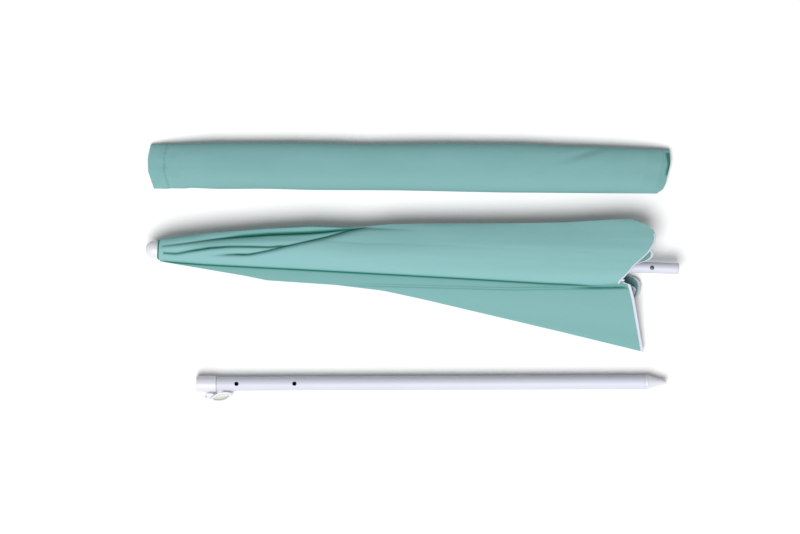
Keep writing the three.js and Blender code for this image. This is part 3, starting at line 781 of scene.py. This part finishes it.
def thicken(piece, thickness):
    """Gives a sheet a back face and an edge, so that it is cloth from both sides."""
    select_only(piece)
    shell = piece.modifiers.new("shell", "SOLIDIFY")
    shell.thickness = thickness
    shell.offset = -1
    bpy.ops.object.modifier_apply(modifier=shell.name)
    bpy.ops.object.shade_smooth_by_angle(angle=math.radians(50))


for (gore, side), piece in sheets.items():
    grid = grids[gore, side]
    long = float(grid[-1, :, 0].max() - CROWN_U) * MM
    thicken(piece, CLOTH_THICKNESS)

print("declared sheets:", len(sheets))

# %% [markdown]
# ## The collar of cloth at the crown
#
# The gores are gathered into a small collar with a rounded shoulder. Its rim is turned in, and its first
# rings are painted deep green: painted shade where the rounded rim turns away. The white cap stands out of
# it.
# A rounded shoulder hides the cut ends of eight layers, so it is drawn as one turned shell with shallow
# pleats.

# %% Collar
COLLAR_PROFILE = [(19.0, -4.3), (20.6, -4.5), (22.0, -3.4), (23.3, -1.0), (24.4, 1.8), (25.4, 5.0),
                  (25.9, 8.0), (24.8, 9.4)]
RIM_SHADE_RINGS = 3
COLLAR_STEPS = 96
COLLAR_PLEATS = 16


def collar_grid():
    turns = np.linspace(0, 2 * math.pi, COLLAR_STEPS, endpoint=False)
    rings = []
    for radius, u in COLLAR_PROFILE:
        pleats = 0.45 * np.sin(turns * COLLAR_PLEATS + 0.4) * fade(np.array(u), 0, 6)
        r = radius + pleats
        rings.append(np.stack([np.full(COLLAR_STEPS, u), r * np.sin(turns), r * np.cos(turns)], axis=1))
    return np.array(rings)


collar = grid_mesh("collar", collar_grid(), mint, np.zeros((len(COLLAR_PROFILE), COLLAR_STEPS)), True)
# The rim's first rings get the deep green: painted shade where the rounded rim turns away.
collar.data.materials.append(rim_shade_tape)
for face in collar.data.polygons:
    face.material_index = 1 if face.vertices[0] // COLLAR_STEPS < RIM_SHADE_RINGS else 0
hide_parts("crown_collar")
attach(collar, "upper_pole")
collar_area = float(sum(face.area for face in collar.data.polygons))
print("collar area:", round(collar_area, 5), "square metres")

# %% [markdown]
# ## The carry sleeve
#
# The sleeve is one long strip sewn into a tube, closed at the far end and open at the near one, where a wide
# hem is stitched down. Empty, it lies puffed up by its own stiffness, so its top is round, its underside is
# flat on the floor, and its outline wanders a little. At the closed end one corner is folded in.

# %% Sleeve outline
SLEEVE_LENGTH = 1174
SLEEVE_CLOTH = 1.0 * MM
SLEEVE_CORNER = (-593.8, 237.4)
SLEEVE_TURN = math.radians(-0.55)
SLEEVE_LEFT = ([-50, -48, -10, 19, 48, 54], [14, 12, -1, -2, 4, 6])
SLEEVE_RIGHT = ([-52, -49, -40, -26, 0, 19, 50, 60], [1138, 1146, 1159, 1165, 1170, 1175, 1173, 1170])
SLEEVE_TOP = ([0, 39, 136, 311, 409, 487, 656, 836, 918, 1031, 1173],
              [50, 51.5, 55.5, 58, 57.5, 56, 59.5, 60, 57, 54.5, 50])
SLEEVE_BOTTOM = ([0, 71, 87, 153, 254, 371, 567, 807, 1032, 1144],
                 [-48, -48.5, -46.8, -48.8, -47.2, -49, -48, -50.5, -50, -49.5])
SLEEVE_HEIGHT = ([0, 20, 45, 130, 600, 1040, 1120, 1155, 1175], [14, 22, 34, 46, 48, 45, 38, 30, 19])
HEM_AT = 38
SLEEVE_AROUND = 88
SLEEVE_LONG = 240


def wander(x, y, seed):
    """Slow, irregular waves between about -1 and 1."""
    waves = np.sin(x + 1.7 * seed) + np.sin(0.61 * x + y + seed)
    return (waves + np.sin(1.73 * x - 0.8 * y + 2.3 * seed)) / 3


def sleeve_grid():
    turns = np.linspace(0, 2 * math.pi, SLEEVE_AROUND, endpoint=False)
    rings = []
    painted_shade = []
    for share in fine_at_ends(SLEEVE_LONG):
        s = share * SLEEVE_LENGTH
        top, bottom = np.interp(s, *SLEEVE_TOP), np.interp(s, *SLEEVE_BOTTOM)
        height = np.interp(s, *SLEEVE_HEIGHT)
        cosine, sine = np.cos(turns), np.sin(turns)
        w = (top + bottom) / 2 + (top - bottom) / 2 * np.sign(cosine) * np.abs(cosine) ** 0.85
        up = np.clip(sine, 0, 1) ** 0.92
        down = np.clip(-sine, 0, 1)
        edge_height = 0.5 * height
        z = edge_height + (height - edge_height) * up - (edge_height - 1.2) * down**0.55
        left, right = np.interp(w, *SLEEVE_LEFT), np.interp(w, *SLEEVE_RIGHT)
        x = left + (right - left) * share
        top_side = np.clip(sine, 0, 1)
        z += top_side * (1.5 * wander(s / 83, w / 31, 1) + 0.7 * wander(s / 29, w / 17, 4))
        crumple = math.exp(-(((s - HEM_AT - 6) / 26) ** 2))
        z += top_side * crumple * 1.1 * wander(s / 9, w / 6.5, 2)
        far_crumple = fade(np.array(s), 1060, 1160)
        z += top_side * far_crumple * wander(s / 14, w / 9, 6)
        seam = math.exp(-(((s - HEM_AT) / 1.5) ** 2))
        z -= top_side * 0.35 * seam
        puckers = np.sin(w / 1.9 + wander(w / 9, s / 30, 3))
        z += top_side * 0.5 * math.exp(-(((s - HEM_AT) / 7) ** 2)) * puckers
        diagonal = s - 985 - 2.4 * (w - 40)
        z -= 4.6 * top_side * np.exp(-((diagonal / 24) ** 2)) * fade(w, 10, 45)
        rings.append(np.stack([x, w, z], axis=1))
        # Painted shade: along the mouth's seam, darker towards the top edge, in the diagonal crease and in
        # the folded corner.
        sleeve_shade = 0.25 * seam * (0.5 + 0.5 * np.sin(w * 0.9)) + 0.12 * fade(w, 38, 58)
        sleeve_shade += 0.14 * np.exp(-((diagonal / 24) ** 2)) * fade(w, 15, 45)
        fold_line = 1171 - 0.20 * np.abs(w - 18)
        corner = fade(x, fold_line - 5, fold_line) * fade(w, -12, -4) * (1 - fade(w, 40, 46))
        z -= 3.0 * corner * top_side * (1 + 0.8 * wander(w / 5, s / 4, 5))
        painted_shade.append(np.clip(sleeve_shade * top_side + 0.85 * corner, 0, 1))
    return np.array(rings), np.array(painted_shade)


def fine_at_ends(count):
    """Even steps, drawn closer together near both ends."""
    even = np.linspace(0, 1, count)
    return even - 0.11 * np.sin(2 * math.pi * even)


def sleeve_to_world(points):
    cosine, sine = math.cos(SLEEVE_TURN), math.sin(SLEEVE_TURN)
    turn = np.array([[cosine, sine], [-sine, cosine]])
    flat = points[:, :2] @ turn + np.array(SLEEVE_CORNER)
    return np.column_stack([flat, points[:, 2]]) * MM


def sleeve_mesh(name, grid, painted_shade, material):
    piece = grid_mesh(name, grid, material, painted_shade, True)
    world_points = sleeve_to_world(grid.reshape(-1, 3))
    piece.data.vertices.foreach_set("co", world_points.reshape(-1).astype(np.float32))
    piece.data.update()
    return piece


rings, painted_shades = sleeve_grid()
hem_row = int(np.argmax(rings[:, :, 0].mean(axis=1) > HEM_AT))
body_sleeve = sleeve_mesh("sleeve_cloth", rings[hem_row:], painted_shades[hem_row:], mint_sleeve)
hem_sleeve = sleeve_mesh("sleeve_mouth", rings[: hem_row + 1], painted_shades[: hem_row + 1], mint_sleeve)


def close_end(piece, count):
    """Fills the last ring with a grid of faces, so that the far end is closed."""
    mesh = piece.data
    select_only(piece)
    bpy.ops.object.mode_set(mode="EDIT")
    bpy.ops.mesh.select_all(action="DESELECT")
    bpy.ops.object.mode_set(mode="OBJECT")
    last = len(mesh.vertices) - count
    for vertex in mesh.vertices:
        vertex.select = vertex.index >= last
    bpy.ops.object.mode_set(mode="EDIT")
    bpy.ops.mesh.select_mode(type="VERT")
    bpy.ops.mesh.fill_grid(span=count // 4)
    bpy.ops.mesh.select_all(action="SELECT")
    bpy.ops.mesh.normals_make_consistent(inside=False)
    bpy.ops.mesh.faces_shade_smooth()
    bpy.ops.object.mode_set(mode="OBJECT")


close_end(body_sleeve, SLEEVE_AROUND)
for piece, node in ((body_sleeve, "sleeve_body"), (hem_sleeve, "sleeve_hem")):
    thicken(piece, SLEEVE_CLOTH)
    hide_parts(node)
    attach(piece, "sleeve")
    print(piece.name, "faces:", len(piece.data.polygons))

# %% [markdown]
# ## The clamp's knob
#
# The knob is a moulded wing screw: one long thumb wing with a shallow dish for the thumb, and a short wing on
# the other side with a small grey dot. It turns on a short round hub. The wing is a round plate drawn out to
# a point at one end. Its top face is drawn in once, for the rim, and then pushed down twice, for the dish.
# The
# dish is painted a darker, greyer white: painted shade in its hollow.

# %% Knob
CLAMP_AT = 54


def lower_place(x, out, z):
    """A point beside the lower pole: x along it, out away from it on the near side, z from its axis."""
    turn = Matrix.Rotation(LOWER_TURN, 4, "Z")
    return LOWER_END + turn @ (Vector((x, -out, z)) * MM)


knob_plastic = moulded_plastic("clear_white_plastic", (0.62, 0.63, 0.66, 1), (0.70, 0.71, 0.74, 1))
# The dish's darker, greyer white is painted shade in its hollow.
dish_shade_plastic = moulded_plastic("dish_shade_plastic", (0.47, 0.49, 0.46, 1), (0.58, 0.59, 0.56, 1))


def select_faces(piece, test):
    """Selects the faces whose centre and normal pass the test."""
    bpy.ops.object.mode_set(mode="OBJECT")
    for vertex in piece.data.vertices:
        vertex.select = False
    for edge in piece.data.edges:
        edge.select = False
    for face in piece.data.polygons:
        face.select = bool(test(face.center, face.normal))
    bpy.ops.object.mode_set(mode="EDIT")
    bpy.ops.mesh.select_mode(type="FACE")


WING_LONG = 53 * MM
WING_WIDE = 21 * MM
WING_THICK = 9 * MM
WING_TURN = math.radians(13)
WING_POINT = 0.45
WING_PLACE = (55.8, 29.8, 2)
DISH_STEPS = (((0.70, 0.62, 1), 0), ((0.92, 0.86, 1), -1.6 * MM), ((0.70, 0.62, 1), -0.9 * MM))
bpy.ops.object.select_all(action="DESELECT")
bpy.ops.mesh.primitive_cylinder_add(vertices=64, radius=0.5, depth=1, location=(0, 0, 0))
knob = bpy.context.object
knob.name = "knob"
knob.scale = (WING_LONG, WING_WIDE, WING_THICK)
bpy.ops.object.transform_apply(location=True, rotation=True, scale=True)
for vertex in knob.data.vertices:
    to_tip = max(0, -vertex.co.x / (WING_LONG / 2))
    vertex.co.y *= 1 - WING_POINT * to_tip**2
select_faces(knob, lambda centre, normal: normal.z > 0.9)
for shrink, sink in DISH_STEPS:
    bpy.ops.mesh.extrude_region_move(TRANSFORM_OT_translate={"value": (0, 0, sink)})
    bpy.ops.transform.resize(value=shrink, center_override=(0, 0, 0))
bpy.ops.object.mode_set(mode="OBJECT")
knob.data.materials.append(knob_plastic)
knob.data.materials.append(dish_shade_plastic)
# The dish's faces get the darker plastic: painted shade.
for face in knob.data.polygons:
    in_dish = WING_THICK / 2 - 3 * MM < face.center.z < WING_THICK / 2 - 0.1 * MM and face.normal.z > 0.3
    face.material_index = 1 if in_dish else 0
rounded = knob.modifiers.new("rounded", "BEVEL")
rounded.width = 1.0 * MM
rounded.segments = 3
rounded.angle_limit = math.radians(60)
select_only(knob)
bpy.ops.object.modifier_apply(modifier=rounded.name)
bpy.ops.object.shade_smooth_by_angle(angle=math.radians(40))
knob.data.transform(Matrix.Translation(lower_place(*WING_PLACE)) @ Matrix.Rotation(WING_TURN, 4, "Z"))
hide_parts("clamp_knob")
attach(knob, "clamp_knob")
print("knob faces:", len(knob.data.polygons))


def knob_moulding(name, sides, radius, depth, place, material, lying=False, longer=1, smooth=True):
    """A small round plate of the knob, or a short round bar if it is lying."""
    bpy.ops.object.select_all(action="DESELECT")
    bpy.ops.mesh.primitive_cylinder_add(vertices=sides, radius=radius, depth=depth, location=(0, 0, 0))
    moulding = bpy.context.object
    moulding.name = name
    moulding.rotation_euler = (math.pi / 2 if lying else 0, 0, 0)
    moulding.scale = (longer, 1, 1)
    moulding.location = place
    bpy.ops.object.transform_apply(location=True, rotation=True, scale=True)
    moulding.data.materials.append(material)
    if smooth:
        bpy.ops.object.shade_smooth_by_angle(angle=math.radians(40))
    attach(moulding, "clamp_knob")


hub_place = lower_place(CLAMP_AT, 20.0, 0)
wing_place = lower_place(CLAMP_AT - 25, 28, 0)
mark_place = lower_place(21.5, 28.6, 2.2)
knob_moulding("knob_hub", 28, 6.5 * MM, 7 * MM, hub_place, knob_plastic, lying=True)
knob_moulding("knob_short_wing", 36, 6.5 * MM, 4 * MM, wing_place, knob_plastic, longer=1.9)
knob_moulding("knob_mark", 20, 1.7 * MM, 1 * MM, mark_place, mark_plastic, smooth=False)
print("knob pieces: 4")

# %% [markdown]
# The socket collar is a separate moulding pushed on to the lower tube. The narrow gap where it ends is in
# shade, and that dark line is what tells the eye that there are two parts. The gap is a thin dark ring of
# painted shade.

# %% Gap behind the socket collar
COLLAR_END = 44.6
GAP_RADIUS = 16.0 * MM
GAP_THICKNESS = 0.7 * MM
bpy.ops.object.select_all(action="DESELECT")
bpy.ops.mesh.primitive_torus_add(
    major_segments=72, minor_segments=10, major_radius=GAP_RADIUS, minor_radius=GAP_THICKNESS
)
gap = bpy.context.object
gap.name = "socket_gap_shade"
gap.rotation_euler = (0, math.pi / 2, 0)
gap.location = lower_place(COLLAR_END, 0, 0)
bpy.ops.object.transform_apply(location=True, rotation=True, scale=True)
bpy.ops.object.shade_smooth()
# Dark painted shade in the gap.
gap.data.materials.append(shaded)
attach(gap, "lower_pole")
print("gap at", COLLAR_END, "mm")
